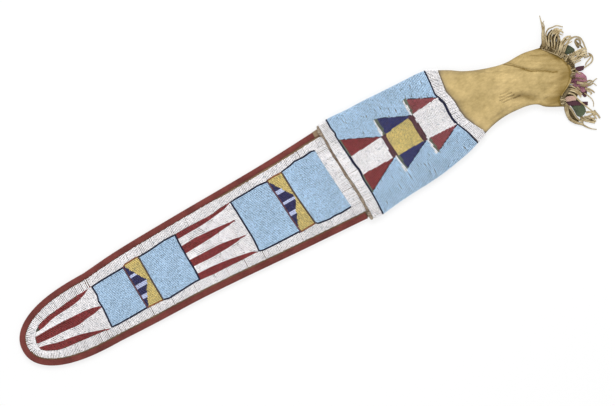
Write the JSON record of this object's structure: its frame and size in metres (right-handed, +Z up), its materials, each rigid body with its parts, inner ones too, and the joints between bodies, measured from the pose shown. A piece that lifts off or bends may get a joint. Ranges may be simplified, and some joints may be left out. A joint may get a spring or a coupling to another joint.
{
  "type": "beaded pipe bag",
  "caption": "Long flat pipe bag of tanned hide lying on its back, with beadwork in blocks, bars and tongues, wool edging, a soft open neck and a fringe.",
  "frame": {"origin": "middle of the seam between case and pouch, on the underside that the bag rests on", "axes": "+X along the bag from the round tip to the open mouth, +Y across it, +Z up, away from the ground"},
  "size_m": [0.8991, 0.1983, 0.017],
  "materials": {
    "blue_block_1": "rows of small opaque glass beads",
    "blue_block_2": "rows of small opaque glass beads",
    "blue_block_3": "rows of small opaque glass beads",
    "blue_block_4": "rows of small opaque glass beads",
    "blue_wrap": "rows of small opaque glass beads",
    "border_lane": "rows of small opaque glass beads",
    "case_back_hide": "tanned suede hide, matt",
    "case_front_hide": "tanned suede hide, matt",
    "curled_thong": "tanned suede hide, matt",
    "end_lane": "rows of small opaque glass beads",
    "far_bar_frame": "rows of small opaque glass beads",
    "far_bar_gold": "rows of small opaque glass beads",
    "far_bar_navy": "rows of small opaque glass beads",
    "first_maroon_bar": "rows of small opaque glass beads",
    "first_square": "rows of small opaque glass beads",
    "first_triangle_lower": "rows of small opaque glass beads",
    "first_triangle_upper": "rows of small opaque glass beads",
    "last_square": "rows of small opaque glass beads",
    "last_triangle_lower": "rows of small opaque glass beads",
    "last_triangle_upper": "rows of small opaque glass beads",
    "long_tongue_1": "rows of small opaque glass beads",
    "long_tongue_2": "rows of small opaque glass beads",
    "long_tongue_3": "rows of small opaque glass beads",
    "long_tongue_4": "rows of small opaque glass beads",
    "long_tongue_ground": "rows of small opaque glass beads",
    "loop_thong": "tanned suede hide, matt",
    "lower_fringe": "tanned suede hide, matt",
    "lower_green_tab": "plain woven cloth, worn",
    "lower_purple_tab": "plain woven cloth, worn",
    "mauve_tab": "plain woven cloth, worn",
    "middle_fringe": "tanned suede hide, matt",
    "middle_square": "rows of small opaque glass beads",
    "middle_triangle_lower": "rows of small opaque glass beads",
    "middle_triangle_upper": "rows of small opaque glass beads",
    "navy_outline_1_lower": "rows of small opaque glass beads",
    "navy_outline_1_upper": "rows of small opaque glass beads",
    "navy_outline_2": "rows of small opaque glass beads",
    "navy_outline_3": "rows of small opaque glass beads",
    "navy_outline_4": "rows of small opaque glass beads",
    "near_bar_frame": "rows of small opaque glass beads",
    "near_bar_gold": "rows of small opaque glass beads",
    "near_bar_navy": "rows of small opaque glass beads",
    "neck_lane": "rows of small opaque glass beads",
    "neck_navy_line": "rows of small opaque glass beads",
    "pouch_hide": "tanned suede hide, matt",
    "pouch_lane": "rows of small opaque glass beads",
    "pouch_navy_line": "rows of small opaque glass beads",
    "seam_welt": "tanned suede hide, matt",
    "second_maroon_bar": "rows of small opaque glass beads",
    "tip_ground_1": "rows of small opaque glass beads",
    "tip_ground_2": "rows of small opaque glass beads",
    "tip_tongue_1": "rows of small opaque glass beads",
    "tip_tongue_2": "rows of small opaque glass beads",
    "tip_tongue_3": "rows of small opaque glass beads",
    "upper_fringe": "tanned suede hide, matt",
    "upper_green_tab": "plain woven cloth, worn",
    "upper_purple_tab": "plain woven cloth, worn",
    "wool_edging": "felted wool trade cloth"
  },
  "bodies": {
    "root": {"blue_block_1": "blue_block_1", "blue_block_2": "blue_block_2", "blue_block_3": "blue_block_3", "blue_block_4": "blue_block_4", "blue_wrap": "blue_wrap", "border_lane": "border_lane", "case_back_hide": "case_back_hide", "case_front_hide": "case_front_hide", "curled_thong": "curled_thong", "end_lane": "end_lane", "far_bar_frame": "far_bar_frame", "far_bar_gold": "far_bar_gold", "far_bar_navy": "far_bar_navy", "first_maroon_bar": "first_maroon_bar", "first_square": "first_square", "first_triangle_lower": "first_triangle_lower", "first_triangle_upper": "first_triangle_upper", "last_square": "last_square", "last_triangle_lower": "last_triangle_lower", "last_triangle_upper": "last_triangle_upper", "long_tongue_1": "long_tongue_1", "long_tongue_2": "long_tongue_2", "long_tongue_3": "long_tongue_3", "long_tongue_4": "long_tongue_4", "long_tongue_ground": "long_tongue_ground", "loop_thong": "loop_thong", "lower_fringe": "lower_fringe", "lower_green_tab": "lower_green_tab", "lower_purple_tab": "lower_purple_tab", "mauve_tab": "mauve_tab", "middle_fringe": "middle_fringe", "middle_square": "middle_square", "middle_triangle_lower": "middle_triangle_lower", "middle_triangle_upper": "middle_triangle_upper", "navy_outline_1_lower": "navy_outline_1_lower", "navy_outline_1_upper": "navy_outline_1_upper", "navy_outline_2": "navy_outline_2", "navy_outline_3": "navy_outline_3", "navy_outline_4": "navy_outline_4", "near_bar_frame": "near_bar_frame", "near_bar_gold": "near_bar_gold", "near_bar_navy": "near_bar_navy", "neck_lane": "neck_lane", "neck_navy_line": "neck_navy_line", "pouch_hide": "pouch_hide", "pouch_lane": "pouch_lane", "pouch_navy_line": "pouch_navy_line", "seam_welt": "seam_welt", "second_maroon_bar": "second_maroon_bar", "tip_ground_1": "tip_ground_1", "tip_ground_2": "tip_ground_2", "tip_tongue_1": "tip_tongue_1", "tip_tongue_2": "tip_tongue_2", "tip_tongue_3": "tip_tongue_3", "upper_fringe": "upper_fringe", "upper_green_tab": "upper_green_tab", "upper_purple_tab": "upper_purple_tab", "wool_edging": "wool_edging"}
  },
  "joints": []
}
